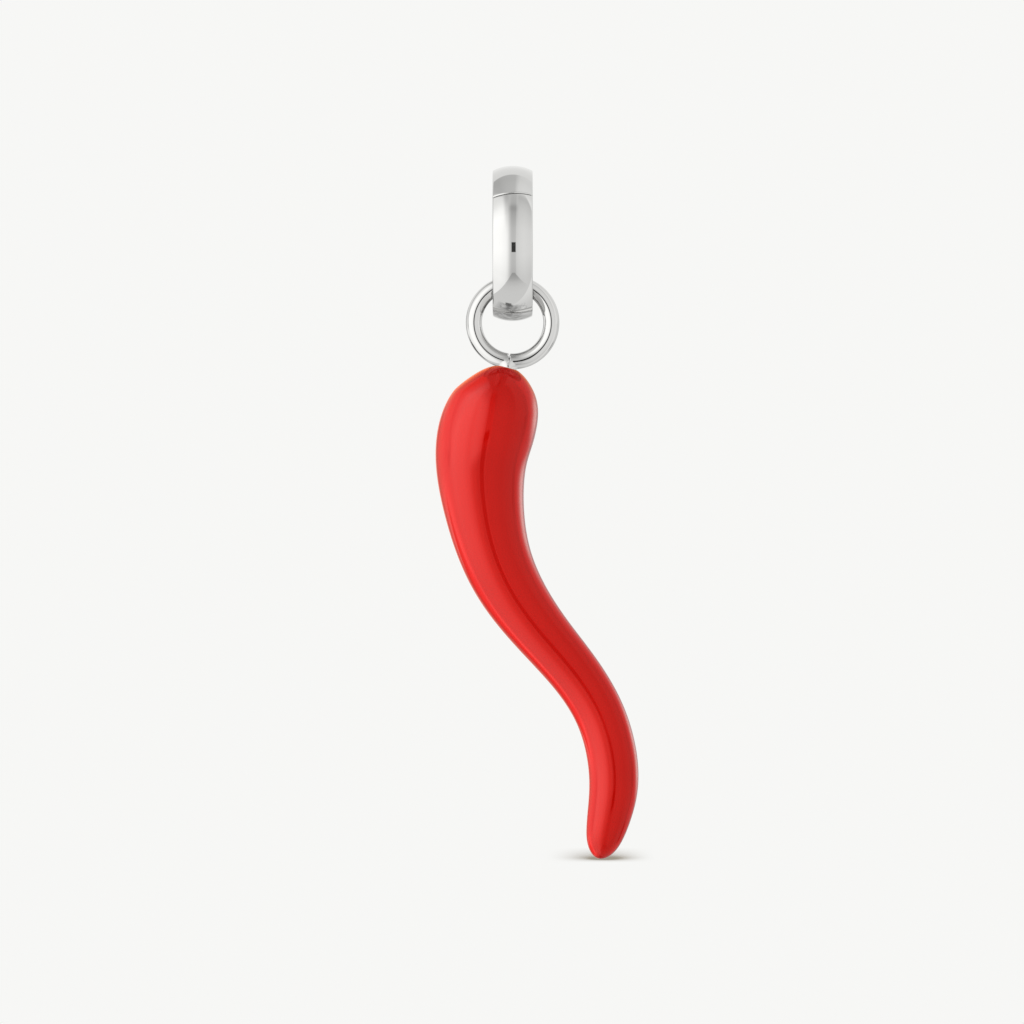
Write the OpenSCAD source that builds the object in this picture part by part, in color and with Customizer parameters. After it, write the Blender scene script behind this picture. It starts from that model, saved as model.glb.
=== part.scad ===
// Cornicello horn pendant: a red horn on a soldered ring, hung in a hinged bail.
// The origin is the underside of the bail's top, where a chain bears.
// +Z is up, +X is to the right seen from the front, and the front faces -Y.

/* [Bail] */
// Bore of the bail ring
bail_bore = 7.2; // [6.4:0.1:9]
// Wall of the bail ring at the crown of its domed outside
bail_wall = 1.46; // [1.2:0.02:1.8]
// Width of the bail ring, along X
bail_w = 2.6; // [2.2:0.1:3]
// How far the domed outside falls from its crown to its edges
bail_crown = 0.32; // [0.2:0.02:0.6]
// Edge break of the bore
bail_edge = 0.1; // [0.05:0.01:0.2]

/* [Gate] */
// Height of the opening seam above the bail's middle, as an angle on the front
seam_angle = 37.5; // [35:0.5:50]
// Height of the hinge above the bail's middle, as an angle on the back
hinge_angle = 43; // [35:1:50]
// Width of the seams where the gate meets the band
seam_gap = 0.08; // [0.05:0.01:0.12]
// How far the gate opens
gate_opening = 42; // [25:1:50]

/* [Hinge] */
// Diameter of the hinge pin
pin_d = 0.44; // [0.3:0.02:0.5]
// How far the hinge barrel stands proud of the wall's edges
barrel_proud = 0.05; // [0.03:0.01:0.08]
// Width of the gate's middle knuckle
knuckle_w = 0.9; // [0.6:0.05:1.2]
// Gap beside and around each knuckle
knuckle_gap = 0.05; // [0.03:0.01:0.08]
// Radial gap between the pin and its bores
pin_gap = 0.02; // [0.01:0.005:0.04]

/* [Catch] */
// Width of the lug on the gate's free end
lug_w = 1; // [0.6:0.1:1.4]
// Thickness of the lug
lug_t = 0.3; // [0.2:0.05:0.4]
// Length of the lug below the seam
lug_len = 0.55; // [0.3:0.05:0.7]
// Gap round the lug in its pocket
lug_gap = 0.08; // [0.06:0.01:0.12]

/* [Hanging ring] */
// Inside diameter of the hanging ring
ring_bore = 4; // [3.6:0.1:5.5]
// Diameter of its wire
wire_d = 1.05; // [0.8:0.05:1.2]
// Gap between the wire and the bail's edges that it hangs on
seat_gap = 0.05; // [0.03:0.01:0.1]
// Angle of the solder joint from straight down, to the left
joint_angle = 6.2; // [0:0.1:12]
// Width of the slit left where the wire's ends meet
slit_gap = 0.06; // [0.04:0.01:0.1]
// Diameter of the solder bead
bead_d = 1.14; // [1.1:0.02:1.3]

/* [Horn] */
// Height of the horn from its crown to its tip
horn_len = 32.1; // [24:0.1:42]
// Diameter of the horn where it is widest
horn_w = 6.28; // [5:0.02:8]
// How deep the wire sits in the crown of the horn
wire_sink = 0.2; // [0.05:0.01:0.25]
// Diameter of the post that holds the horn
post_d = 0.8; // [0.6:0.05:1]
// Length of the post inside the horn
post_len = 3; // [2:0.1:4]
// Gap round the post and the bead in the horn
post_gap = 0.05; // [0.03:0.01:0.08]

/* [Hidden] */
$fn = 64;

STEEL = [0.78, 0.78, 0.79];
ENAMEL = [0.78, 0.05, 0.05];

// Sections of the horn, from its crown to its tip. Columns: how far down and
// how far to the right of the crown its middle lies, as shares of horn_len,
// and its half thickness, as a share of half of horn_w.
HORN = [
    [0.000, 0.000, 0.00],
    [0.030, -0.008, 0.60],
    [0.075, -0.021, 0.91],
    [0.130, -0.043, 1.00],
    [0.200, -0.055, 0.94],
    [0.290, -0.048, 0.83],
    [0.380, -0.027, 0.74],
    [0.460, 0.010, 0.67],
    [0.540, 0.067, 0.59],
    [0.620, 0.134, 0.54],
    [0.700, 0.184, 0.52],
    [0.780, 0.209, 0.52],
    [0.850, 0.215, 0.51],
    [0.910, 0.206, 0.46],
    [0.965, 0.193, 0.36],
    [1.000, 0.183, 0.00]
];
HORN_RINGS = 48;
HORN_SIDES = 32;

// The bail's axis is X. Angles round it run from 0 at the back to 90 at the top. The notch
// at the hinge is a little wider on each side than half of what the gate opens.
bail_mid = [0, 0, -bail_bore / 2];
bail_r = bail_bore / 2 + bail_wall;
bail_half = bail_w / 2;
dome_r = (bail_half * bail_half + bail_crown * bail_crown) / (2 * bail_crown);
beyond = 2 * bail_r;
seam_at = 180 - seam_angle;
notch_spare = 2;
notch = gate_opening / 2 + notch_spare;

// The hinge lies in the middle of the wall that the ring has at its edges.
edge_wall = bail_wall - bail_crown;
barrel_r = edge_wall / 2 + barrel_proud;
pin_r = pin_d / 2;
pin_at = spot(bail_bore / 2 + edge_wall / 2, hinge_angle);

// The lug hangs straight down from its root inside the gate, and half way down it is
// in the middle of the wall.
lug_mid_r = bail_bore / 2 + (bail_wall - bail_crown / 2) / 2;
lug_at = spot(lug_mid_r + lug_len * sin(seam_angle) / 2, seam_at);
lug_root = 0.2;

// The ring hangs on the two edges of the bail's bore.
wire_r = wire_d / 2;
ring_r = ring_bore / 2 + wire_r;
seat_x = bail_half - bail_edge;
ring_drop = sqrt(pow(ring_bore / 2, 2) - pow(seat_x, 2)) - seat_gap;
ring_mid = 2 * bail_mid - [0, 0, ring_drop];
bead_r = bead_d / 2;
post_r = post_d / 2;

// The horn's crown lies under the ring at the solder joint.
crown_drop = ring_r + wire_r - wire_sink;
crown_at = ring_mid - crown_drop * [sin(joint_angle), 0, cos(joint_angle)];

// The rows in millimetres, with the half thickness squared so that both ends come out round.
rows = [for (row = HORN) [row[0] * horn_len, row[1] * horn_len, pow(row[2] * horn_w / 2, 2)]];
last = len(rows) - 1;

// The step, in rows, over which the middle line's direction is taken.
nudge = 0.01;
crown_axis = heading(0);
crown_tilt = atan2(-crown_axis[0], -crown_axis[2]);

function spot(r, angle) = r * [cos(angle), sin(angle)];

// A smooth curve through the rows, as a cubic B-spline.
function control(i) =
    i < 0 ? 2 * rows[0] - control(1) :
    i > last ? 2 * rows[last] - control(last - 1) :
    i == 0 || i == last ? rows[i] :
    rows[i] - (rows[i - 1] - 2 * rows[i] + rows[i + 1]) / 6;
function weights(f) = [
    pow(1 - f, 3),
    3 * pow(f, 3) - 6 * pow(f, 2) + 4,
    -3 * pow(f, 3) + 3 * pow(f, 2) + 3 * f + 1,
    pow(f, 3)
] / 6;
function section(u) =
    let (i = min(floor(u), last - 1), w = weights(u - i))
    w[0] * control(i - 1) + w[1] * control(i) + w[2] * control(i + 1) + w[3] * control(i + 2);
function centre(u) = let (s = section(u)) crown_at + [s[1], 0, -s[0]];
function heading(u) =
    let (d = centre(min(u + nudge, last)) - centre(max(u - nudge, 0)))
    d / norm(d);

// One round section of the horn, square to its middle line.
function horn_ring(u) =
    let (c = centre(u), h = heading(u), r = sqrt(section(u)[2]))
    [
        for (k = [0 : HORN_SIDES - 1])
            let (a = 360 * k / HORN_SIDES)
            c + r * [-cos(a) * h[2], sin(a), cos(a) * h[0]]
    ];

// Where ring j lies along the rows: the rings are closer together near both ends.
function horn_u(j) = last * (1 - cos(180 * j / HORN_RINGS)) / 2;

// The corners of the four-sided cell k of the band of cells below ring j.
function horn_cell(j, k) =
    let (a = 1 + j * HORN_SIDES + k, b = 1 + j * HORN_SIDES + (k + 1) % HORN_SIDES)
    [a, b, b + HORN_SIDES, a + HORN_SIDES];

// A side view, drawn with Y to the right and Z up, made solid along X.
module along_x(width) {
    rotate([90, 0, 90]) linear_extrude(width, center = true) children();
}

// The whole domed ring of the bail, round the X axis.
module bail_ring() {
    bore_r = bail_bore / 2;
    inner_r = bore_r + bail_edge;
    rotate([0, 90, 0]) rotate_extrude() intersection() {
        polygon([
            [bore_r, -seat_x],
            [inner_r, -bail_half],
            [bail_r, -bail_half],
            [bail_r, bail_half],
            [inner_r, bail_half],
            [bore_r, seat_x]
        ]);
        translate([bail_r - dome_r, 0]) circle(dome_r);
    }
}

// The side view of the gate's part of the ring, grown at both ends. At the hinge
// its outer edge leans away from the gate, which makes a notch that lets it fold back.
module gate_sector(grow, lean) {
    at_hinge = spot(grow, hinge_angle - 90);
    at_seam = spot(grow, seam_at + 90);
    polygon([
        at_hinge,
        pin_at + at_hinge,
        pin_at + at_hinge + spot(beyond, hinge_angle - lean),
        spot(2 * beyond, 90),
        spot(beyond, seam_at) + at_seam,
        at_seam
    ]);
}

// A round bar on the hinge's axis.
module hinge_bar(r, from_x, to_x) {
    translate([from_x, pin_at[0], pin_at[1]]) rotate([0, 90, 0]) cylinder(r = r, h = to_x - from_x);
}

module both_sides() {
    children();
    mirror([1, 0, 0]) children();
}

// The lug, with a gap all round it where it shapes its pocket.
module lug(gap) {
    translate([-lug_w / 2 - gap, lug_at[0] - lug_t / 2 - gap, lug_at[1] - lug_len - gap])
        cube([lug_w + 2 * gap, lug_t + 2 * gap, lug_len + lug_root + gap]);
}

module bail_band() {
    color(STEEL) translate(bail_mid) difference() {
        union() {
            difference() {
                bail_ring();
                along_x(2 * bail_w) gate_sector(seam_gap / 2, notch);
            }
            both_sides() hinge_bar(barrel_r, knuckle_w / 2 + knuckle_gap, bail_half);
        }
        hinge_bar(barrel_r + knuckle_gap, -knuckle_w / 2 - knuckle_gap, knuckle_w / 2 + knuckle_gap);
        hinge_bar(pin_r + pin_gap, -bail_w, bail_w);
        lug(lug_gap);
    }
}

module bail_gate() {
    color(STEEL) translate(bail_mid) difference() {
        union() {
            difference() {
                intersection() {
                    bail_ring();
                    along_x(2 * bail_w) gate_sector(-seam_gap / 2, -notch);
                }
                both_sides() hinge_bar(barrel_r + knuckle_gap, knuckle_w / 2, bail_w);
            }
            hinge_bar(barrel_r, -knuckle_w / 2, knuckle_w / 2);
            lug(0);
        }
        hinge_bar(pin_r + pin_gap, -bail_w, bail_w);
    }
}

module hinge_pin() {
    color(STEEL) translate(bail_mid) hinge_bar(pin_r, -bail_half, bail_half);
}

// The post and the bead that hold the horn, grown by a gap where they shape its hole.
module crown_post(gap) {
    translate(crown_at) {
        sphere(bead_r + gap);
        rotate([180, crown_tilt, 0]) cylinder(r = post_r + gap, h = post_len + gap);
    }
}

// The ring of wire, grown by a gap where it shapes its groove in the horn's crown.
module wire_ring(gap) {
    translate(ring_mid) rotate([90, 0, 0]) rotate_extrude() translate([ring_r, 0]) circle(wire_r + gap);
}

module hanging_ring() {
    slit_h = crown_drop + wire_d;
    color(STEEL) {
        difference() {
            wire_ring(0);
            translate(ring_mid) rotate([0, joint_angle, 0])
                translate([-slit_gap / 2, -wire_d, -slit_h]) cube([slit_gap, 2 * wire_d, slit_h]);
        }
        crown_post(0);
    }
}

module horn() {
    rings = [for (j = [1 : HORN_RINGS - 1]) each horn_ring(horn_u(j))];
    tip = len(rings) + 1;
    sides = [for (j = [0 : HORN_RINGS - 3]) for (k = [0 : HORN_SIDES - 1]) horn_cell(j, k)];
    crown_fan = [for (k = [0 : HORN_SIDES - 1]) [0, 1 + (k + 1) % HORN_SIDES, 1 + k]];
    tip_fan = [for (k = [0 : HORN_SIDES - 1]) let (c = horn_cell(HORN_RINGS - 2, k)) [c[0], c[1], tip]];
    color(ENAMEL) difference() {
        polyhedron(
            points = concat([centre(0)], rings, [centre(last)]),
            faces = concat(crown_fan, sides, tip_fan)
        );
        crown_post(post_gap);
        wire_ring(post_gap);
    }
}

bail_band();
hinge_pin();
bail_gate();
hanging_ring();
horn();
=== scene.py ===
import math

import bpy
import numpy as np
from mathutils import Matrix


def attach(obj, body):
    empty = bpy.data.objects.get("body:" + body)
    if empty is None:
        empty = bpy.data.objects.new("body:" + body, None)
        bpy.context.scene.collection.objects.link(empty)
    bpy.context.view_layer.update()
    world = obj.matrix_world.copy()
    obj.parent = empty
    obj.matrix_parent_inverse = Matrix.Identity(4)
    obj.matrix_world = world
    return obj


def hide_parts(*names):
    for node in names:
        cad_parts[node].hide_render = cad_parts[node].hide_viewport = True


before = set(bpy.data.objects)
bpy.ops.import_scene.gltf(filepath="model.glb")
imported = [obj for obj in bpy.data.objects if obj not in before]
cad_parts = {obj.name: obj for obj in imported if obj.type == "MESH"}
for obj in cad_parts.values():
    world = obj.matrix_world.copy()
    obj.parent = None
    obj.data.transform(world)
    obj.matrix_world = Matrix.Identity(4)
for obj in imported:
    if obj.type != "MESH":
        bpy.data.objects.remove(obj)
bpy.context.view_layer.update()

# Sizes are in millimetres, in the shared frame: X right, Z up, the front faces -Y. Lights, the
# camera and what a material measures are in metres. Angles are in degrees, but for JOINT_ANGLE
# and SCRATCH_TURN, which are in radians.
MM = 0.001

# Bail, as in part.scad
BAIL_BORE_R = 3.6
BAIL_WALL = 1.46
BAIL_HALF = 1.3
BAIL_CROWN = 0.32
BAIL_EDGE = 0.1
BAIL_R = BAIL_BORE_R + BAIL_WALL
BAIL_MID = np.array([0.0, 0.0, -BAIL_BORE_R])
DOME_R = (BAIL_HALF**2 + BAIL_CROWN**2) / (2 * BAIL_CROWN)
SEAT_X = BAIL_HALF - BAIL_EDGE

# Gate, hinge and catch, as in part.scad but for the seam, which is drawn half as wide and a
# little askew, as the photo shows it
SEAM_ANGLE = 37.5
SEAM_TILT = 0.87
HINGE_ANGLE = 43
SEAM_GAP = 0.04
NOTCH = 23
PIN_R = 0.22
KNUCKLE_HALF = 0.45
KNUCKLE_GAP = 0.05
PIN_GAP = 0.02
EDGE_WALL = BAIL_WALL - BAIL_CROWN
BARREL_R = EDGE_WALL / 2 + 0.05
LUG_HALF = 0.5
LUG_T = 0.3
LUG_LEN = 0.55
LUG_GAP = 0.08
LUG_ROOT = 0.2

# Hanging ring and bead
RING_BORE_R = 2.0
WIRE_R = 0.525
RING_R = RING_BORE_R + WIRE_R
SEAT_GAP = 0.05
JOINT_ANGLE = math.radians(6.2)
BEAD_R = 0.57
POST_R = 0.4
POST_LEN = 3.0
WIRE_SINK = 0.2
POST_GAP = 0.05

# Horn: how far down and to the right its middle lies, as shares of its length, and its half
# thickness as a share of the widest
HORN_LEN = 32.1
HORN_HALF = 3.14
HORN = np.array([
    [0.000, 0.000, 0.00],
    [0.030, -0.008, 0.60],
    [0.075, -0.021, 0.91],
    [0.130, -0.043, 1.00],
    [0.200, -0.055, 0.94],
    [0.290, -0.048, 0.83],
    [0.380, -0.027, 0.74],
    [0.460, 0.010, 0.67],
    [0.540, 0.067, 0.59],
    [0.620, 0.134, 0.54],
    [0.700, 0.184, 0.52],
    [0.780, 0.209, 0.52],
    [0.850, 0.215, 0.51],
    [0.910, 0.206, 0.46],
    [0.965, 0.193, 0.36],
    [1.000, 0.183, 0.00],
])

# Roundings that polishing leaves on the metal's edges
EDGE_ROUND = 0.07
CUT_ROUND = 0.10
SOLDER_ROUND = 0.14

# The horn's cup for the bead, its hole for the post and its groove for the ring's wire
CUP_R = BEAD_R + POST_GAP
HOLE_R = POST_R + POST_GAP
HOLE_DEPTH = POST_LEN + POST_GAP
GROOVE_R = WIRE_R + POST_GAP

# Meshes from distance functions: how far and how often a corner is pulled to the surface, and
# the least slope that is reckoned with
PULL_REACH = 0.02
PULLS = 6
LEAST_SLOPE = 0.2
CELL_CORNERS = [(i, j, k) for i in (0, 1) for j in (0, 1) for k in (0, 1)]

# The horn's mesh: its rows and sides, the rows of its hole and cup, how many rows on each side of
# the cup's lip are evened out and how often, and how far inside the lip the groove may press
HORN_ROWS = 380
HORN_SIDES = 144
HOLE_ROWS = 11
CUP_ROWS = 13
LIP_ROWS = 4
LIP_PASSES = 6
GROOVE_ROWS = 3

# Steel. A noise is given by its scale and detail. SCRATCH_EDGE is where the crossing noise turns
# into a scratch. The last two numbers are the colour of a painted reflection of a dark lens on the
# ring, and how far its metal is turned from the viewer, from 0 to 1, where that painted reflection ends.
STEEL_COLOUR = (0.600, 0.598, 0.594, 1)
BRUSH_NOISE = (1000, 4)
BRUSH_HEIGHT = 0.6
BROAD_NOISE = (500, 2)
SCRATCH_NOISE = (1000, 3)
SCRATCH_TURN = (0.4, 0.7, 0.3)
SCRATCH_EDGE = (0.62, 0.72)
SCRATCH_ROUGHNESS = 0.08
SCRATCH_HEIGHT = -0.5
BUMP_STRENGTH = 0.04
STEEL_BUMP = 0.00002
PAINTED_REFLECTION_COLOUR = (0.08, 0.08, 0.08, 1)
PAINTED_REFLECTION_EDGE = (0.0008, 0.0038)

# Enamel. UNDERCOAT is the share of the red mirror under the clear gloss. CROWN_FADE has the
# heights where a warm rim sheen, painted into the colour, comes in at the crown, and the sheen's
# facing pair how far the surface is turned from the viewer there, from 0 to 1. By THIN_FACING
# its IOR falls by THIN_IOR there.
DEEP_RED = (0.318, 0.0020, 0.0008)
BRIGHT_RED = (0.342, 0.0026, 0.0012)
RED_NOISE = (260, 3)
# Colour of the painted warm rim sheen, and how far the surface is turned where it shows
PAINTED_RIM_SHEEN = (0.75, 0.16, 0.02, 1)
SHEEN_FACING = (0.55, 0.92)
UNDERCOAT_RED = (1.0, 0.026, 0.006, 1)
UNDERCOAT = 0.096
ENAMEL_IOR = 1.25
THIN_IOR = 0.17
THIN_FACING = (0.35, 0.80)
CROWN_FADE = (-0.0150, -0.0120)
SPECK_SCALE = 900.0
SPECK_SIZE = 0.16
SPECK_HEIGHT = 0.15
WAVE_NOISE = (420, 2)
WAVE_HEIGHT = 0.6
ENAMEL_BUMP = 0.00005
ENAMEL_ROUGHNESS = 0.05
GLOSS_NOISE = (700, 2)
GLOSS_SPREAD = 0.06

# The studio's light by direction, as stops of angle and level. SIDE is the angle out of the YZ
# plane, to +X, and LIFT the angle round X, from 0 towards the camera over 90 straight up to 180
# behind. PANELS, CEILING and BEHIND go by SIDE, and so do LEFT_TO_MIDDLE, MIDDLE_TO_RIGHT and
# CEILING_RISE. The others go by LIFT. What is named DIM is the share that is taken off, and
# DEGREES turns radians into degrees.
DEGREES = 180 / math.pi
PANELS = [
    (-90, 0.60), (-86, 0.70), (-81, 1.50), (-70, 1.66), (-48, 1.68), (-30, 1.64), (-18, 1.54),
    (-13, 1.38), (-8, 1.06), (-4, 0.88), (0, 0.83), (7.5, 0.85), (9.5, 1.02), (20, 1.10),
    (30, 1.13), (48, 1.08), (60, 1.10), (72, 1.16), (84, 1.05), (90, 0.95),
]
DIM_LEFT = [
    (-180, 0.20), (-73, 0.14), (-62, 0.10), (-52, 0.10), (-33, 0.035), (-12, -0.01), (12, 0.00),
    (32, -0.02), (40, -0.03), (48, 0.02), (54, 0.06), (61, 0.14), (66, 0.20), (75, 0.26), (180, 0.30),
]
DIM_MIDDLE = [
    (-180, 0.20), (-52, 0.16), (-33, 0.05), (0, 0.00), (20, 0.06), (32, 0.17), (44, 0.28),
    (50, 0.38), (54, 0.37), (58, 0.24), (62, 0.18), (75, 0.14), (180, 0.14),
]
DIM_RIGHT = [
    (-180, 0.22), (-62, 0.15), (-43, 0.08), (-21, 0.00), (0, 0.00), (20, 0.02), (32, 0.07),
    (48, 0.14), (61, 0.22), (70, 0.30), (180, 0.32),
]
LEFT_TO_MIDDLE = (-13.0, -3.0)
MIDDLE_TO_RIGHT = (6.0, 16.0)
CEILING = [
    (-90, 0.80), (-40, 0.76), (-30, 0.68), (-22, 0.67), (-12, 0.73), (0, 0.76), (4, 0.77),
    (7.5, 0.92), (11, 1.03), (20, 1.07), (90, 1.08),
]
DIM_CEILING = [(-180, 0.0), (80, -0.03), (94, 0.00), (101, 0.02), (110, 0.06), (122, 0.06), (180, 0.0)]
CEILING_RISE = (-20.0, -40.0, 0.0, 14.0)
CEILING_FADE = (73, 85)
BACK_FROM = 122
BACK_LEVEL = 1.06
SWEEP = [
    (-180, 0.70), (-155, 0.66), (-140, 0.85), (-110, 0.95), (-80, 0.94), (-70, 0.89), (-62, 0.78),
    (-56, 0.62), (-50, 0.52), (-44, 0.45), (0, 0.45),
]
SWEEP_TOP = -46.5
BEHIND = [
    (-90, 0.90), (-68, 1.25), (-57, 1.15), (-45, 0.80), (-33, 0.45), (-22, 0.50), (-12, 0.88),
    (0, 0.93), (10, 0.90), (23, 0.76), (46, 0.90), (66, 0.95), (90, 0.90),
]
BEHIND_FADE = (158, 172)

# A dark shoulder beside the middle, by SIDE: its middle, its width and its gain, of which a
# quarter is left where its two soft edges meet.
SHOULDER = (-14, 10, 0.96)
SHOULDER_LIFT = (8.0, 52.0)

# Planes that bound the sweep and two bright corners, by the way that they face
SWEEP_LEFT = (0.767, 0.4535, -0.4535)
SWEEP_RIGHT = (-0.670, 0.4925, -0.555)
HIGH_CORNER = (0.468, 0.881, -0.074)
HIGH_CORNER_LEVEL = 1.19
LOW_CORNER = (0.515, 0.8245, 0.233)
LOW_CORNER_LEVEL = 1.14
LOW_CORNER_FADE = (-120.0, -85.0)

# Dark patches low behind the part: SIDE, half width, LIFT, half height and level. The middle of
# a patch's soft edge is at CLUTTER_REACH of its half width, and CLUTTER_SOFT is half that edge.
CLUTTER_REACH = 0.8
CLUTTER_SOFT = 0.25
CLUTTER_NOISE = (14.0, 2)
CLUTTER_RIPPLE = (0.35, 0.65, 0.80, 1.20)
CLUTTER = [
    (-6, 19, -140, 41, 0.56),
    (15, 6, -122, 17, 0.84),
    (-5, 6, -122, 20, 0.38),
    (-7, 6, -106.5, 4.5, 0.22),
    (-14, 4, -113, 4, 0.74),
    (-18.5, 3, -131, 5, 0.26),
    (-46, 17, -136, 28, 0.16),
    (57, 8, -117, 9, 0.14),
]

# The camera's mirror image: SIDE from and to, LIFT from and to
CAMERA_SPOT = (-3.0, 8.0, -15.0, -0.5)
CAMERA_LEVEL = 0.06

# The horn's softboxes: red, green and blue by the angle round Z from the camera, and the share
# of them by the angle above the horn's middle
LEFT_TURN = [
    (-150, (1.3, 0.2, 0.1)), (-136, (1.7, 0.2, 0.1)), (-122, (2.2, 0.4, 0.3)),
    (-99, (2.3, 1.4, 1.5)), (-74, (2.0, 3.2, 3.5)), (-47, (1.8, 2.8, 3.1)),
    (-32, (1.3, 1.6, 1.8)), (-20, (0.2, 0.0, 0.0)), (-8, (0.0, 0.0, 0.0)),
]
LEFT_LIFT = [
    (-60, 0.40), (-38, 0.45), (-30, 0.52), (-16, 0.75), (-5, 0.92), (5, 1.00), (50, 1.08),
    (66, 0.85), (78, 0.30),
]
LOW_TURN = [
    (-146, (0.0, 0.0, 0.0)), (-128, (2.0, 0.3, 0.3)), (-108, (2.6, 0.8, 0.8)), (-92, (0.0, 0.0, 0.0)),
]
LOW_LIFT = [(-66, 0.0), (-52, 1.0), (-26, 1.0), (-6, 0.0)]
FRONT_TURN = [
    (-34, (0.0, 0.0, 0.0)), (-22, (1.1, 1.9, 2.1)), (-14, (1.3, 1.7, 1.9)), (-6, (1.2, 1.0, 1.1)),
    (-3, (0.6, 0.0, 0.0)), (8, (0.6, 0.0, 0.0)), (12, (0.0, 0.0, 0.0)),
]
FRONT_LIFT = [(-7.5, 0.0), (-4.0, 1.0), (40, 1.0), (58, 0.6), (73, 0.0)]
BACK_TURN = [
    (92, (0.0, 0.0, 0.0)), (110, (0.05, 0.1, 0.1)), (121, (0.3, 1.0, 1.0)), (130, (0.7, 2.9, 2.8)),
    (140, (0.7, 2.6, 2.5)), (150, (0.2, 0.7, 0.7)), (160, (0.0, 0.0, 0.0)),
]
BACK_LIFT = [(-12, 0.0), (-3, 1.0), (8, 1.0), (15, 0.3), (24, 0.0)]
BRIGHTEST = 5.0
HORN_MID_Z = -0.026

# Backdrop, floor and the shade on it. FLOOR_REACH is from X to X and half of Y, set so that the
# quad's diagonal keeps away from the shade. SHADE_SIDES and SHADE_FRONT are how far to the sides
# and from front to back the shade fades, in metres.
BACKDROP = 0.93
PALE = (1.0, 1.0, 0.985, 1)
FLOOR_Z = -43.71
FLOOR_SLOPE = 3.0
FLOOR_REACH = (-14000.0, 26000.0, 20000.0)
SHADE_X = 5.7
SHADE_REACH = 6
SHADE_GAIN = 3.1
SHADE_SIDES = (0.0038, 0.0004)
SHADE_FRONT = (-0.0025, 0.0011)
SHADE_COLOUR = (0.37, 0.33, 0.27, 1)

# Camera: its place, and the angle of view of the photo's frame
CAMERA_AT = (-0.000042, -0.400, -0.0211)
VIEW_ANGLE = 9.54


def spot(r, degrees):
    """The place at that angle in the bail's side view, as (y, z)."""
    a = math.radians(degrees)
    return np.array([r * math.cos(a), r * math.sin(a)])


PIN_AT = spot(BAIL_BORE_R + EDGE_WALL / 2, HINGE_ANGLE)
SEAM_AT = 180 - SEAM_ANGLE
LUG_MID_R = BAIL_BORE_R + (BAIL_WALL - BAIL_CROWN / 2) / 2
LUG_AT = spot(LUG_MID_R + LUG_LEN * math.sin(math.radians(SEAM_ANGLE)) / 2, SEAM_AT)
RING_DROP = math.sqrt(RING_BORE_R**2 - SEAT_X**2) - SEAT_GAP
RING_MID = 2 * BAIL_MID - np.array([0, 0, RING_DROP])
CROWN_DROP = RING_R + WIRE_R - WIRE_SINK
CROWN_AT = RING_MID - CROWN_DROP * np.array([math.sin(JOINT_ANGLE), 0, math.cos(JOINT_ANGLE)])


# Distance functions: negative inside the metal, in millimetres.

def smooth_max(a, b, k):
    """The larger of two distances, with the edge between them rounded."""
    h = np.maximum(k - np.abs(a - b), 0)
    return np.maximum(a, b) + h * h / (4 * k)


def smooth_min(a, b, k):
    return -smooth_max(-a, -b, k)


def cut(solid, tool, k=CUT_ROUND):
    return smooth_max(solid, -tool, k)


def bail_ring(x, r):
    dome = np.hypot(x, r - (BAIL_R - DOME_R)) - DOME_R
    outside = smooth_max(dome, np.abs(x) - BAIL_HALF, EDGE_ROUND)
    break_line = (np.abs(x) - r + BAIL_BORE_R - SEAT_X) / math.sqrt(2)
    inside = smooth_max(BAIL_BORE_R - r, break_line, EDGE_ROUND)
    return smooth_max(outside, inside, EDGE_ROUND)


def side_of(y, z, at, degrees):
    """Distance from a line through a place in the side view, positive on its clockwise side."""
    n = spot(1, degrees - 90)
    return (y - at[0]) * n[0] + (z - at[1]) * n[1]


def gate_sector(x, y, z, grow, lean):
    """The gate's part of the ring. Its seam runs a little askew, as the photo shows."""
    hinge_shift = spot(grow, HINGE_ANGLE - 90)
    radial = side_of(y, z, hinge_shift, HINGE_ANGLE)
    leaning = side_of(y, z, PIN_AT + hinge_shift, HINGE_ANGLE - lean)
    at_hinge = np.minimum(radial, leaning) if lean > 0 else np.maximum(radial, leaning)
    askew = np.radians(SEAM_TILT) * x * np.hypot(y, z)
    at_seam = -side_of(y, z, spot(grow, SEAM_AT + 90), SEAM_AT) + askew
    return np.maximum(at_hinge, at_seam)


def hinge_bar(x, y, z, radius, start, end):
    """A round bar on the hinge's axis, from start to end on both sides of the middle."""
    round_part = np.hypot(y - PIN_AT[0], z - PIN_AT[1]) - radius
    flat_part = np.maximum(start - np.abs(x), np.abs(x) - end)
    return smooth_max(round_part, flat_part, CUT_ROUND)


def lug(x, y, z, gap):
    wide = np.abs(x) - LUG_HALF - gap
    thick = np.abs(y - LUG_AT[0]) - LUG_T / 2 - gap
    low = LUG_AT[1] - LUG_LEN - gap - z
    high = z - LUG_AT[1] - LUG_ROOT
    return smooth_max(smooth_max(wide, thick, CUT_ROUND), np.maximum(low, high), CUT_ROUND)


def bail_parts(p):
    x, y, z = p[..., 0], p[..., 1], p[..., 2] - BAIL_MID[2]
    return x, y, z, bail_ring(x, np.hypot(y, z))


def band_form(p):
    x, y, z, ring = bail_parts(p)
    band = cut(ring, gate_sector(x, y, z, SEAM_GAP / 2, NOTCH))
    ears = hinge_bar(x, y, z, BARREL_R, KNUCKLE_HALF + KNUCKLE_GAP, BAIL_HALF)
    band = smooth_min(band, ears, CUT_ROUND)
    band = cut(band, hinge_bar(x, y, z, BARREL_R + KNUCKLE_GAP, -BAIL_R, KNUCKLE_HALF + KNUCKLE_GAP))
    band = cut(band, hinge_bar(x, y, z, PIN_R + PIN_GAP, -BAIL_R, BAIL_R))
    return cut(band, lug(x, y, z, LUG_GAP))


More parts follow.
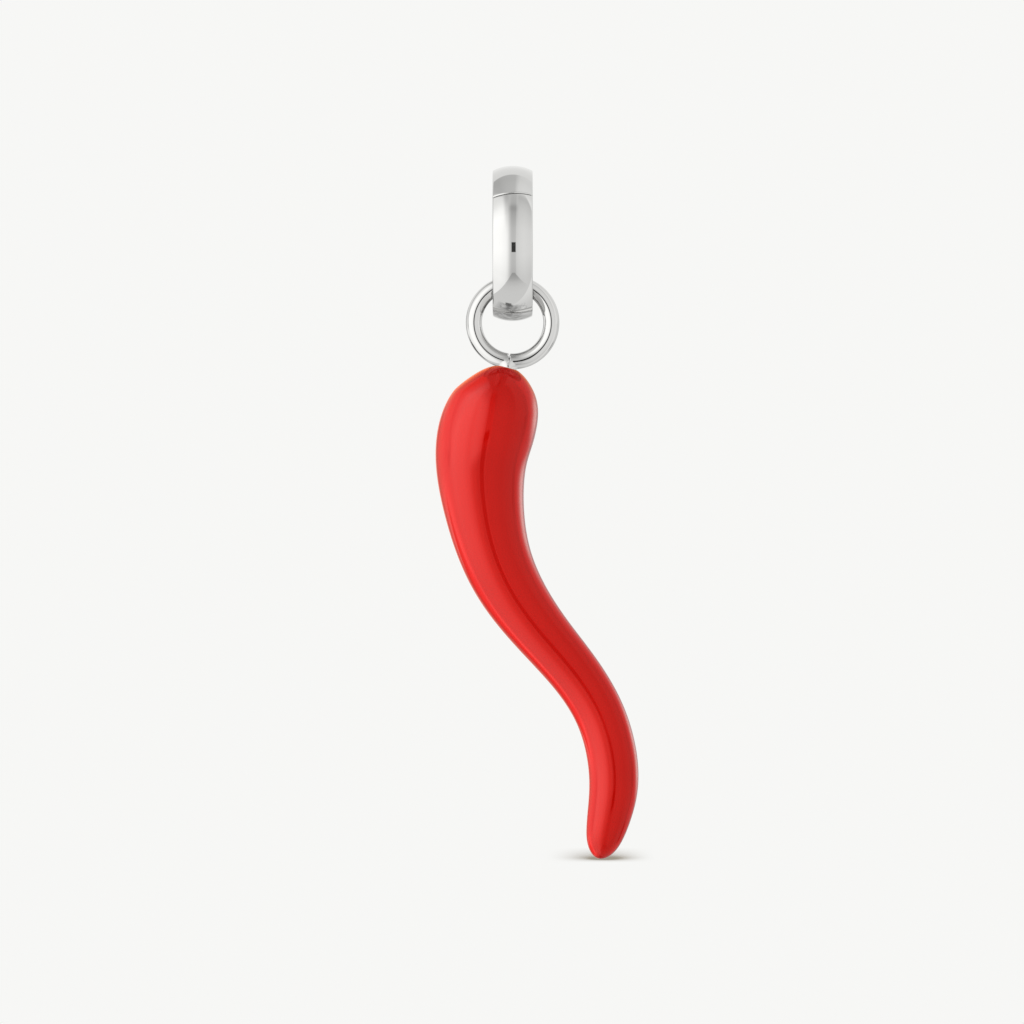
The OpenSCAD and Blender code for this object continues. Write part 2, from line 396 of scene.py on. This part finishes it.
def gate_form(p):
    x, y, z, ring = bail_parts(p)
    gate = smooth_max(ring, gate_sector(x, y, z, -SEAM_GAP / 2, -NOTCH), CUT_ROUND)
    gate = cut(gate, hinge_bar(x, y, z, BARREL_R + KNUCKLE_GAP, KNUCKLE_HALF, BAIL_R))
    gate = smooth_min(gate, hinge_bar(x, y, z, BARREL_R, -BAIL_R, KNUCKLE_HALF), CUT_ROUND)
    gate = smooth_min(gate, lug(x, y, z, 0), CUT_ROUND)
    return cut(gate, hinge_bar(x, y, z, PIN_R + PIN_GAP, -BAIL_R, BAIL_R))


def pin_form(p):
    x, y, z = p[..., 0], p[..., 1], p[..., 2] - BAIL_MID[2]
    return hinge_bar(x, y, z, PIN_R, -BAIL_R, BAIL_HALF)


def ring_form(p):
    """The ring of wire with its uneven slit, and the solder bead that closes it."""
    q = p - RING_MID
    round_way = np.hypot(q[..., 0], q[..., 2])
    wire = np.hypot(round_way - RING_R, q[..., 1]) - WIRE_R
    sin_j, cos_j = math.sin(JOINT_ANGLE), math.cos(JOINT_ANGLE)
    across = q[..., 0] * cos_j - q[..., 2] * sin_j
    along = -q[..., 0] * sin_j - q[..., 2] * cos_j
    # The slit wanders, and it is wider at the bore. The bead has small lumps.
    depth = (along - RING_BORE_R) / (2 * WIRE_R)
    wander = 0.05 * np.sin(11 * depth + 5 * q[..., 1]) + 0.02 * np.sin(31 * depth)
    opening = 0.03 + 0.07 * np.clip(0.55 - depth, 0, 1)
    slit = np.maximum(np.abs(across - wander) - opening, -along)
    wire = cut(wire, slit, 0.04)
    b = p - CROWN_AT
    lumps = 0.025 * np.sin(7 * b[..., 0] + 2) * np.sin(8 * b[..., 1] + 1) * np.sin(7 * b[..., 2])
    bead = np.sqrt((b * b).sum(-1)) - BEAD_R + np.abs(lumps)
    return smooth_min(wire, bead, SOLDER_ROUND)


# Surfaces of the distance functions

def uneven(*stops):
    """Grid lines from a list of place, step, place, step ... place."""
    lines = [np.array([stops[0]])]
    for start, step, end in zip(stops[:-2:2], stops[1::2], stops[2::2]):
        lines.append(np.linspace(start, end, max(int(round((end - start) / step)), 1) + 1)[1:])
    return np.concatenate(lines)


def around_bail(q):
    """Turns X, radius and angle in the bail's side view into a place."""
    x, r, a = q[..., 0], q[..., 1], np.radians(q[..., 2])
    return BAIL_MID + np.stack([x, r * np.cos(a), r * np.sin(a)], -1)


def around_ring(q):
    """Turns the angle from the ring's bottom, radius and Y into a place."""
    a, r, y = np.radians(q[..., 0]), q[..., 1], q[..., 2]
    return RING_MID + np.stack([-r * np.sin(a), y, -r * np.cos(a)], -1)


def crossed_cells(inside):
    """The grid's cells that the level passes through, and the number of each."""
    nx, ny, nz = (n - 1 for n in inside.shape)
    count = sum(inside[i:i + nx, j:j + ny, k:k + nz].astype(int) for i, j, k in CELL_CORNERS)
    used = np.argwhere((count > 0) & (count < len(CELL_CORNERS)))
    number = np.full((nx, ny, nz), -1)
    number[tuple(used.T)] = np.arange(len(used))
    return used, number


def points_in_cells(value, used):
    """One point in each cell, as shares of its sides: the mean of where its edges meet the level."""
    at_corner = {s: value[tuple((used + s).T)] for s in CELL_CORNERS}
    total = np.zeros((len(used), 3))
    hits = np.zeros(len(used))
    for s in CELL_CORNERS:
        for axis in range(3):
            if s[axis]:
                continue
            t = tuple(1 if n == axis else s[n] for n in range(3))
            a, b = at_corner[s], at_corner[t]
            crossed = (a < 0) != (b < 0)
            where = np.where(crossed, a / np.where(crossed, a - b, 1), 0)
            total += (np.array(s) + where[:, None] * (np.array(t) - np.array(s))) * crossed[:, None]
            hits += crossed
    return total / hits[:, None]


def cell_faces(inside, number):
    """Four-sided faces, one round each grid edge that crosses the level."""
    faces = []
    for axis in range(3):
        first = [slice(1, -1)] * 3
        first[axis] = slice(0, -1)
        after = list(first)
        after[axis] = slice(1, None)
        crossed = inside[tuple(first)] != inside[tuple(after)]
        at = np.argwhere(crossed) + [1 if n != axis else 0 for n in range(3)]
        b, c = (np.eye(3, dtype=int)[(axis + n) % 3] for n in (1, 2))
        quads = np.stack([number[tuple((at - d).T)] for d in (0 * b, b, b + c, c)], -1)
        turned = ~inside[tuple(at.T)]
        quads[turned] = quads[turned][:, ::-1]
        faces.append(quads)
    return np.concatenate(faces)


def slope(form, p, tiny=1e-4):
    return np.stack([(form(p + d) - form(p - d)) / (2 * tiny) for d in tiny * np.eye(3)], -1)


def surface(form, axes, place):
    """Corners, faces and normals of the zero level of a distance function.

    The axes are grid lines, which place() turns into millimetres.
    """
    value = form(place(np.stack(np.meshgrid(*axes, indexing="ij"), -1)))
    used, number = crossed_cells(value < 0)
    share = points_in_cells(value, used)
    low = np.stack([line[used[:, n]] for n, line in enumerate(axes)], -1)
    high = np.stack([line[used[:, n] + 1] for n, line in enumerate(axes)], -1)
    corners = place(low + share * (high - low))
    for _ in range(PULLS):
        g = slope(form, corners)
        move = -form(corners)[:, None] * g / np.maximum((g * g).sum(-1), LEAST_SLOPE)[:, None]
        corners = corners + np.clip(move, -PULL_REACH, PULL_REACH)
    normals = slope(form, corners)
    normals /= np.linalg.norm(normals, axis=1)[:, None]

    faces = cell_faces(value < 0, number)
    across, along = (corners[faces[:, n + 2]] - corners[faces[:, n]] for n in (0, 1))
    if (np.cross(across, along) * normals[faces[:, 0]]).sum() < 0:
        faces = faces[:, ::-1]
    return corners, faces, normals


def make_mesh(name, corners, faces, normals=None):
    mesh = bpy.data.meshes.new(name)
    mesh.from_pydata((np.asarray(corners) * MM).tolist(), [], [list(map(int, f)) for f in faces])
    mesh.shade_smooth()
    if normals is not None:
        mesh.normals_split_custom_set_from_vertices(normals.tolist())
    mesh.validate()
    obj = bpy.data.objects.new(name, mesh)
    bpy.context.scene.collection.objects.link(obj)
    return obj


def form_piece(name, form, axes, place=lambda q: q):
    return make_mesh(name, *surface(form, axes, place))


# The horn: rings of points along a cubic B-spline through its sections

def spline_controls():
    """Control rows of how far down and to the right the middle lies, and the radius squared."""
    rows = np.stack([HORN[:, 0] * HORN_LEN, HORN[:, 1] * HORN_LEN, (HORN[:, 2] * HORN_HALF) ** 2], -1)
    inner = rows[1:-1] - (rows[:-2] - 2 * rows[1:-1] + rows[2:]) / 6
    c = np.concatenate([rows[:1], inner, rows[-1:]])
    return np.concatenate([[2 * c[0] - c[1]], c, [2 * c[-1] - c[-2]]])


CONTROLS = spline_controls()
LAST = len(HORN) - 1


def section(u):
    i = np.minimum(np.floor(u).astype(int), LAST - 1)
    f = u - i
    w = [(1 - f)**3, 3 * f**3 - 6 * f**2 + 4, -3 * f**3 + 3 * f**2 + 3 * f + 1, f**3]
    return sum(w[n][:, None] / 6 * CONTROLS[i + n] for n in range(4))


def centre(u):
    s = section(u)
    return CROWN_AT + np.stack([s[:, 1], 0 * u, -s[:, 0]], -1)


def heading(u, step=0.01):
    d = centre(np.minimum(u + step, LAST)) - centre(np.maximum(u - step, 0))
    return d / np.linalg.norm(d, axis=1)[:, None]


def round_dirs(h, a):
    """Directions square to the middle line's headings h, at the angles a."""
    c, s = np.cos(a)[None, :], np.sin(a)[None, :]
    return np.stack([-c * h[:, 2:3], s + 0 * h[:, 2:3], c * h[:, 0:1]], -1)


def stations(first, count):
    """Places along the middle line, closer together at its ends."""
    return LAST * (1 - np.cos(math.pi * np.linspace(first, 1, count))) / 2


def outer_rings(angles):
    """The outside, from where the bead's cup ends to just before the tip."""
    u = stations(0, 2 * HORN_ROWS)[:HORN_ROWS]
    from_bead = np.sqrt(np.linalg.norm(centre(u) - CROWN_AT, axis=1) ** 2 + np.maximum(section(u)[:, 2], 0))
    start = u[np.searchsorted(from_bead, CUP_R)]
    u = stations(math.acos(1 - 2 * start / LAST) / math.pi, HORN_ROWS)[:-1]
    radius = np.sqrt(section(u)[:, 2])
    return centre(u)[:, None, :] + radius[:, None, None] * round_dirs(heading(u), angles)


def inner_profile(lip):
    """Radius and depth of the post's hole and then of the bead's cup, up to the lip's angle."""
    cup_floor = math.sqrt(CUP_R**2 - HOLE_R**2)
    hole = [(HOLE_R, depth) for depth in np.linspace(HOLE_DEPTH, cup_floor, HOLE_ROWS, endpoint=False)]
    cup_angles = np.linspace(math.asin(HOLE_R / CUP_R), lip, CUP_ROWS, endpoint=False)
    return hole + [(CUP_R * math.sin(v), CUP_R * math.cos(v)) for v in cup_angles]


def round_lip(rings, edge):
    first, end = edge - LIP_ROWS, edge + LIP_ROWS + 1
    for _ in range(LIP_PASSES):
        before, near, after = (rings[first + n:end + n] for n in (-1, 0, 1))
        rings[first:end] = (before + 2 * near + after) / 4


def press_groove(rings, edge):
    """Pushes the crown clear of the ring's wire, which lies in a groove there."""
    q = rings[edge - GROOVE_ROWS:] - RING_MID
    outside = 1 - RING_R / np.hypot(q[..., 0], q[..., 2])
    off = np.stack([q[..., 0] * outside, q[..., 1], q[..., 2] * outside], -1)
    gap = np.linalg.norm(off, axis=-1)
    rings[edge - GROOVE_ROWS:] += (np.maximum(GROOVE_R - gap, 0) / gap)[..., None] * off


def horn_mesh():
    angles = np.arange(HORN_SIDES) * 2 * math.pi / HORN_SIDES
    outer = outer_rings(angles)
    down = heading(np.array([0.0]))
    around = round_dirs(down, angles)[0]
    lip = math.acos(np.clip((outer[0] - CROWN_AT).mean(0) @ down[0] / CUP_R, -1, 1))
    inner = inner_profile(lip)
    rings = np.concatenate([[CROWN_AT + down[0] * depth + r * around for r, depth in inner], outer])
    round_lip(rings, len(inner))
    press_groove(rings, len(inner))

    hole_end = CROWN_AT + down[0] * HOLE_DEPTH
    tip = centre(np.array([float(LAST)]))[0]
    corners = np.concatenate([rings.reshape(-1, 3), [hole_end, tip]])
    k = np.arange(HORN_SIDES)
    after = (k + 1) % HORN_SIDES
    faces = []
    for row in range(len(rings) - 1):
        top, below = row * HORN_SIDES, (row + 1) * HORN_SIDES
        faces += np.stack([top + k, top + after, below + after, below + k], -1).tolist()
    last_row = (len(rings) - 1) * HORN_SIDES
    hole_number, tip_number = len(corners) - 2, len(corners) - 1
    faces += [[hole_number, j, i] for i, j in zip(k, after)]
    faces += [[last_row + i, last_row + j, tip_number] for i, j in zip(k, after)]
    return corners, faces


def face_out(obj):
    """Turns all faces outwards, as the volume they close tells."""
    mesh = obj.data
    co = np.array([v.co for v in mesh.vertices])
    volume = 0
    for p in mesh.polygons:
        v = co[list(p.vertices)]
        for m in range(1, len(v) - 1):
            volume += v[0] @ np.cross(v[m], v[m + 1])
    if volume < 0:
        mesh.flip_normals()


# Materials

class Graph:
    """Builds a node tree: sockets and numbers are given to add() by input name or number."""

    def __init__(self, tree):
        self.tree = tree
        tree.nodes.clear()

    def add(self, kind, values=None, **settings):
        node = self.tree.nodes.new("ShaderNode" + kind)
        for name, value in settings.items():
            setattr(node, name, value)
        for name, value in (values or {}).items():
            if isinstance(value, bpy.types.NodeSocket):
                self.tree.links.new(value, node.inputs[name])
            else:
                node.inputs[name].default_value = value
        return node

    def math(self, operation, a, b=0.0, clamp=False):
        return self.add("Math", {0: a, 1: b}, operation=operation, use_clamp=clamp).outputs[0]

    def product(self, *factors):
        result = factors[0]
        for factor in factors[1:]:
            result = self.math("MULTIPLY", result, factor)
        return result

    def smooth(self, value, start, end, low=0.0, high=1.0):
        """A soft step from low at start to high at end."""
        node = self.add("MapRange", {"Value": value, 1: start, 2: end, 3: low, 4: high})
        node.interpolation_type = "SMOOTHSTEP"
        return node.outputs[0]

    def between(self, value, low, high, soft):
        """1 from low to high and 0 outside, each edge softened both ways."""
        rise = self.smooth(value, low - soft, low + soft)
        return self.product(rise, self.smooth(value, high + soft, high - soft))

    def curve(self, value, stops):
        """Straight lines between stops of value and level. A level is a number or a colour from 0 to 1."""
        first, last = stops[0][0], stops[-1][0]
        place = self.add("MapRange", {"Value": value, 1: first, 2: last}).outputs[0]
        node = self.add("ValToRGB", {0: place})
        elements = node.color_ramp.elements
        while len(elements) > 1:
            elements.remove(elements[0])
        for n, (at, level) in enumerate(stops):
            share = (at - first) / (last - first)
            element = elements[0] if n == 0 else elements.new(share)
            element.position = share
            element.color = (*level, 1) if hasattr(level, "__len__") else (level, level, level, 1)
        return node.outputs[0]

    def mix_colour(self, mask, under, over):
        return self.add("Mix", {0: mask, 6: under, 7: over}, data_type="RGBA").outputs[2]

    def noise(self, vector, scale, detail):
        return self.add("TexNoise", {"Vector": vector, "Scale": scale, "Detail": detail}).outputs["Fac"]

    def stretch(self, vector, scale, turn=(0, 0, 0)):
        return self.add("Mapping", {0: vector, 2: turn, 3: scale}).outputs[0]


def new_material(name):
    material = bpy.data.materials.new(name)
    material.use_nodes = True
    return material, Graph(material.node_tree)


def finish_material(g, shader):
    g.add("OutputMaterial", {"Surface": shader.outputs[0]})


def steel_material(name, roughness, brush, scratch, lens=None):
    """Polished steel with fine brushing along one way and a few crossing scratches.

    With lens, a reflection of a dark lens is painted where the metal squarely faces the viewer.
    """
    material, g = new_material(name)
    place = g.add("TexCoord").outputs["Object"]
    fine = g.noise(g.stretch(place, brush), *BRUSH_NOISE)
    cross = g.noise(g.stretch(place, scratch, SCRATCH_TURN), *SCRATCH_NOISE)
    marks = g.smooth(cross, *SCRATCH_EDGE)
    broad = g.noise(place, *BROAD_NOISE)
    rough = g.math("ADD", g.product(fine, roughness), g.product(broad, roughness / 2))
    rough = g.math("ADD", rough, g.product(marks, SCRATCH_ROUGHNESS))
    height = g.math("ADD", g.product(fine, BRUSH_HEIGHT), g.product(marks, SCRATCH_HEIGHT))
    bump = g.add("Bump", {"Strength": BUMP_STRENGTH, "Distance": STEEL_BUMP, "Height": height})
    shader = g.add("BsdfPrincipled", {
        "Base Color": STEEL_COLOUR, "Metallic": 1.0, "Roughness": rough, "Normal": bump.outputs[0],
    })
    # Painted reflection: the colour goes dark where the metal squarely faces the viewer
    if lens:
        facing = g.add("LayerWeight", {0: 0.5}).outputs["Facing"]
        colour = g.mix_colour(g.smooth(facing, *lens), PAINTED_REFLECTION_COLOUR, STEEL_COLOUR)
        g.tree.links.new(colour, shader.inputs["Base Color"])
    finish_material(g, shader)
    return material


def enamel_material():
    """Clear gloss over deep red enamel that glows from the metal under it.

    Near the crown a warm rim sheen is painted where the surface turns from the viewer, with less gloss.
    """
    material, g = new_material("red_enamel")
    place = g.add("TexCoord").outputs["Object"]
    facing = g.add("LayerWeight", {0: 0.5}).outputs["Facing"]
    near_crown = g.smooth(g.add("SeparateXYZ", {0: place}).outputs[2], *CROWN_FADE)
    red = g.curve(g.noise(place, *RED_NOISE), [(0.3, DEEP_RED), (0.7, BRIGHT_RED)])
    # Painted rim sheen: warm orange mixed into the colour near the crown, where the surface turns away
    colour = g.mix_colour(g.product(near_crown, g.smooth(facing, *SHEEN_FACING)), red, PAINTED_RIM_SHEEN)
    thin = g.product(near_crown, g.smooth(facing, *THIN_FACING, 0.0, THIN_IOR))
    bend = g.math("SUBTRACT", ENAMEL_IOR, thin)

    specks = g.add("TexVoronoi", {"Vector": place, "Scale": SPECK_SCALE}, feature="F1")
    dents = g.smooth(specks.outputs["Distance"], 0.0, SPECK_SIZE)
    waves = g.product(g.noise(place, *WAVE_NOISE), WAVE_HEIGHT)
    height = g.math("ADD", g.product(dents, SPECK_HEIGHT), waves)
    bump = g.add("Bump", {"Strength": BUMP_STRENGTH, "Distance": ENAMEL_BUMP, "Height": height}).outputs[0]
    rough = g.math("ADD", ENAMEL_ROUGHNESS, g.product(g.noise(place, *GLOSS_NOISE), GLOSS_SPREAD))
    shader = g.add("BsdfPrincipled", {
        "Base Color": colour, "Roughness": rough, "IOR": ENAMEL_IOR, "Normal": bump,
    })
    g.tree.links.new(bend, shader.inputs["IOR"])
    under = g.add("BsdfAnisotropic", {"Color": UNDERCOAT_RED, "Roughness": rough, "Normal": bump})
    finish_material(g, g.add("MixShader", {0: UNDERCOAT, 1: shader.outputs[0], 2: under.outputs[0]}))
    return material


# Pieces

def dress(obj, material, body, node):
    obj.data.materials.clear()
    obj.data.materials.append(material)
    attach(obj, body)
    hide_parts(node)


def bail_pieces():
    """Band, gate and hinge pin. The grids are finer at the edges, the seam and the hinge."""
    across = uneven(-1.36, 0.02, -1.16, 0.07, -0.62, 0.025, -0.40, 0.08,
                    0.40, 0.025, 0.62, 0.07, 1.16, 0.02, 1.36)
    outward = uneven(3.50, 0.02, 3.74, 0.06, 4.62, 0.025, 5.12)
    seam = (SEAM_AT - 4, 0.15, SEAM_AT + 4, 0.6, SEAM_AT + 14)
    hinge = (HINGE_ANGLE - 12, 0.35, HINGE_ANGLE + 12)
    band_turn = uneven(*seam, 1.5, 360 + hinge[0], hinge[1], 360 + hinge[2])
    gate_turn = uneven(*hinge, 1.5, *seam)
    band = form_piece("bail_band_polished", band_form, (across, outward, band_turn), around_bail)
    gate = form_piece("bail_gate_polished", gate_form, (across, outward, gate_turn), around_bail)

    pin_y, pin_z = PIN_AT[0], PIN_AT[1] + BAIL_MID[2]
    pin = form_piece("hinge_pin_polished", pin_form, (
        uneven(-1.40, 0.02, -1.20, 0.2, 1.20, 0.02, 1.40),
        uneven(pin_y - 0.3, 0.03, pin_y + 0.3),
        uneven(pin_z - 0.3, 0.03, pin_z + 0.3),
    ))
    steel = steel_material("bail_steel", roughness=0.03, brush=(0.2, 2.0, 2.0), scratch=(0.3, 3.0, 3.0))
    dress(band, steel, "bail", "bail_band")
    dress(gate, steel, "gate", "bail_gate")
    dress(pin, steel, "bail", "hinge_pin")


def ring_piece():
    """The hanging ring, with a grid that is finer at its slit and bead."""
    joint = math.degrees(JOINT_ANGLE)
    turn = uneven(joint - 180, 1.2, joint - 22, 0.6, joint - 4, 0.2,
                  joint + 4, 0.6, joint + 22, 1.2, joint + 180)
    axes = (turn, uneven(1.9, 0.035, 3.5), uneven(-0.63, 0.035, 0.63))
    ring = form_piece("hanging_ring_polished", ring_form, axes, around_ring)
    # The ring's colour holds a painted reflection of a dark lens
    steel = steel_material("ring_steel", roughness=0.02, brush=(1.0, 6.0, 1.0), scratch=(3.0, 0.4, 3.0),
                           lens=PAINTED_REFLECTION_EDGE)
    dress(ring, steel, "pendant", "hanging_ring")


def horn_piece():
    horn = make_mesh("horn_enamel", *horn_mesh())
    face_out(horn)
    dress(horn, enamel_material(), "pendant", "horn")
    horn.visible_glossy = False
    return horn


# The studio

def studio_world():
    """The light that the steel mirrors, by direction. The camera sees a plain pale backdrop."""
    world = bpy.data.worlds.new("studio")
    bpy.context.scene.world = world
    world.use_nodes = True
    g = Graph(world.node_tree)
    way = g.add("TexCoord").outputs["Generated"]
    x, y, z = g.add("SeparateXYZ", {0: way}).outputs
    side = g.product(g.math("ARCSINE", x), DEGREES)
    lift = g.product(g.math("ARCTAN2", z, g.product(y, -1.0)), DEGREES)

    def graded(value, stops):
        """A curve of levels from -1 to 2, which its stops hold as 0 to 1."""
        share = g.curve(value, [(at, (level + 1) / 3) for at, level in stops])
        return g.math("SUBTRACT", g.product(share, 3.0), 1.0)

    def blend(mask, under, over):
        return g.add("Mix", {0: mask, 2: under, 3: over}).outputs[0]

    def beyond(normal, soft=0.008):
        """1 on the side of a plane through the part that the normal points to."""
        dot = g.add("VectorMath", {0: way, 1: normal}, operation="DOT_PRODUCT").outputs["Value"]
        return g.smooth(dot, -soft, soft)

    # Panels to the left and right, dimmer by height
    dim = blend(g.smooth(side, *LEFT_TO_MIDDLE), graded(lift, DIM_LEFT), graded(lift, DIM_MIDDLE))
    dim = blend(g.smooth(side, *MIDDLE_TO_RIGHT), dim, graded(lift, DIM_RIGHT))
    middle, width, depth = SHOULDER
    shoulder = g.product(g.between(side, middle, middle, width), g.smooth(lift, *SHOULDER_LIFT))
    dim = g.math("ADD", dim, g.product(shoulder, depth))
    level = g.product(graded(side, PANELS), g.math("SUBTRACT", 1.0, dim))
    above, below = g.math("GREATER_THAN", z, 0.0), g.math("LESS_THAN", z, 0.0)
    level = blend(g.product(beyond(HIGH_CORNER, soft=0.03), above), level, HIGH_CORNER_LEVEL)

    # Ceiling, and the wall behind the part
    ceiling = g.product(graded(side, CEILING), g.math("SUBTRACT", 1.0, graded(lift, DIM_CEILING)))
    start = g.math("SUBTRACT", lift, g.smooth(side, *CEILING_RISE))
    level = blend(g.smooth(start, *CEILING_FADE), level, ceiling)
    level = blend(g.smooth(lift, BACK_FROM - 1, BACK_FROM + 1), level, BACK_LEVEL)

    # The sweep below, which narrows upwards to an apex, and the corner beside it
    apex = g.product(beyond(SWEEP_LEFT), beyond(SWEEP_RIGHT))
    level = blend(g.product(apex, g.smooth(lift, SWEEP_TOP + 1, SWEEP_TOP - 1)), level, graded(lift, SWEEP))
    low_corner = g.product(beyond(LOW_CORNER), below, g.smooth(lift, *LOW_CORNER_FADE))
    level = blend(low_corner, level, LOW_CORNER_LEVEL)

    # Dark patches low behind the part, what lies straight behind it, and the camera
    ripple = g.smooth(g.noise(way, *CLUTTER_NOISE), *CLUTTER_RIPPLE)
    for middle, half_width, middle_lift, half_height, value in CLUTTER:
        reach = CLUTTER_REACH * half_width
        across = g.between(side, middle - reach, middle + reach, CLUTTER_SOFT * half_width)
        reach = CLUTTER_REACH * half_height
        soft = CLUTTER_SOFT * min(half_height, 10)
        along = g.between(lift, middle_lift - reach, middle_lift + reach, soft)
        level = blend(g.product(across, along), level, g.product(ripple, value))
    behind = g.smooth(g.math("ABSOLUTE", lift), *BEHIND_FADE)
    level = blend(behind, level, graded(side, BEHIND))
    left, right, low, high = CAMERA_SPOT
    camera_spot = g.product(g.between(side, left, right, 0.5), g.between(lift, low, high, 0.5))
    level = blend(camera_spot, level, CAMERA_LEVEL)

    seen = g.add("LightPath").outputs["Is Camera Ray"]
    glow = g.add("Background", {"Color": PALE, "Strength": blend(seen, level, BACKDROP)})
    g.add("OutputWorld", {"Surface": glow.outputs[0]})


def floor_piece():
    """A pale floor, rising a little to the back, with soft shade where the horn's tip nearly touches it."""
    rise = math.tan(math.radians(FLOOR_SLOPE))
    left, right, half = FLOOR_REACH
    plan = [(left, -half), (right, -half), (right, half), (left, half)]
    floor = make_mesh("floor", [(x, y, FLOOR_Z + rise * y) for x, y in plan], [(0, 1, 2, 3)])
    material, g = new_material("pale_floor")
    nearness = g.add("AmbientOcclusion", {"Distance": SHADE_REACH * MM}, samples=16).outputs["AO"]
    x, y, _ = g.add("SeparateXYZ", {0: g.add("TexCoord").outputs["Object"]}).outputs
    off = g.math("ABSOLUTE", g.math("SUBTRACT", x, SHADE_X * MM))
    fade = g.product(g.smooth(off, *SHADE_SIDES), g.smooth(y, *SHADE_FRONT), SHADE_GAIN)
    shade = g.math("MULTIPLY", g.math("SUBTRACT", 1.0, nearness), fade, clamp=True)
    colour = g.mix_colour(shade, PALE, SHADE_COLOUR)
    finish_material(g, g.add("Emission", {"Color": colour, "Strength": BACKDROP}))
    floor.data.materials.append(material)
    floor.visible_glossy = floor.visible_diffuse = False


def camera_at_photo():
    data = bpy.data.cameras.new("camera")
    data.sensor_width = 36
    data.lens = data.sensor_width / 2 / math.tan(math.radians(VIEW_ANGLE / 2))
    data.clip_start, data.clip_end = 0.01, 100
    camera = bpy.data.objects.new("camera", data)
    camera.location = CAMERA_AT
    camera.rotation_euler = (math.pi / 2, 0, 0)
    bpy.context.scene.collection.objects.link(camera)
    bpy.context.scene.camera = camera


def horn_panel(name, size, azimuth, distance, height, strength=1.0, colour=(1.0, 1.0, 1.0), gloss=True):
    """A soft panel that lights only the horn: its gloss, or else its colour.

    The azimuth goes round Z, from 0 at the camera to 90 at +X, and the panel faces the Z axis.
    """
    data = bpy.data.lights.new(name, "AREA")
    data.shape = "RECTANGLE"
    data.size, data.size_y = size
    data.color = colour
    data.energy = strength * size[0] * size[1] * math.pi
    light = bpy.data.objects.new(name, data)
    a = math.radians(azimuth)
    light.location = (distance * math.sin(a), -distance * math.cos(a), height)
    light.rotation_euler = (math.pi / 2, 0, a)
    bpy.context.scene.collection.objects.link(light)
    light.visible_glossy, light.visible_diffuse = gloss, not gloss
    light.visible_camera = False
    only = bpy.data.collections.new(name + "_on")
    only.objects.link(horn)
    light.light_linking.receiver_collection = only
    return data


def softbox(name, size, azimuth, distance, height, turns, lifts):
    """A horn panel that its nodes grade by angle round Z and by angle above the horn's middle."""
    data = horn_panel(name, size, azimuth, distance, height)
    data.use_nodes = True
    g = Graph(data.node_tree)
    x, y, z = g.add("SeparateXYZ", {0: g.add("NewGeometry").outputs["Position"]}).outputs
    turn = g.product(g.math("ARCTAN2", x, g.product(y, -1.0)), DEGREES)
    flat = g.math("SQRT", g.math("ADD", g.product(x, x), g.product(y, y)))
    lift = g.product(g.math("ARCTAN2", g.math("SUBTRACT", z, HORN_MID_Z), flat), DEGREES)
    colour = g.curve(turn, [(at, [c / BRIGHTEST for c in level]) for at, level in turns])
    share = g.curve(lift, [(at, level / BRIGHTEST) for at, level in lifts])
    glow = g.add("Emission", {"Color": colour, "Strength": g.product(share, BRIGHTEST**2)})
    g.add("OutputLight", {"Surface": glow.outputs[0]})


bpy.context.scene.view_settings.view_transform = "Standard"
bail_pieces()
ring_piece()
horn = horn_piece()
studio_world()
floor_piece()
camera_at_photo()
softbox("left_softbox", (4.2, 6.0), -72, 0.6, HORN_MID_Z, LEFT_TURN, LEFT_LIFT)
softbox("low_left_softbox", (1.0, 1.3), -110, 0.6, -0.70, LOW_TURN, LOW_LIFT)
softbox("front_softbox", (0.12, 0.40), -14, 0.1, 0.14, FRONT_TURN, FRONT_LIFT)
softbox("back_softbox", (0.9, 0.5), 126, 0.6, HORN_MID_Z, BACK_TURN, BACK_LIFT)
horn_panel("low_gloss", (0.018, 0.024), 1, 0.06, -0.036, 0.6, (0.5, 0.5, 0.5))
horn_panel("right_rim_gloss", (0.5, 1.6), 125, 0.6, -0.03, 0.8, (1.0, 0.05, 0.05))
horn_panel("rim_gloss", (0.26, 1.2), -160, 0.6, -0.03, 0.9, (1.0, 0.15, 0.0))
horn_panel("horn_fill", (0.5, 0.5), -22, 0.6, 0.06, 2.9, (1.0, 0.9, 0.9), gloss=False)
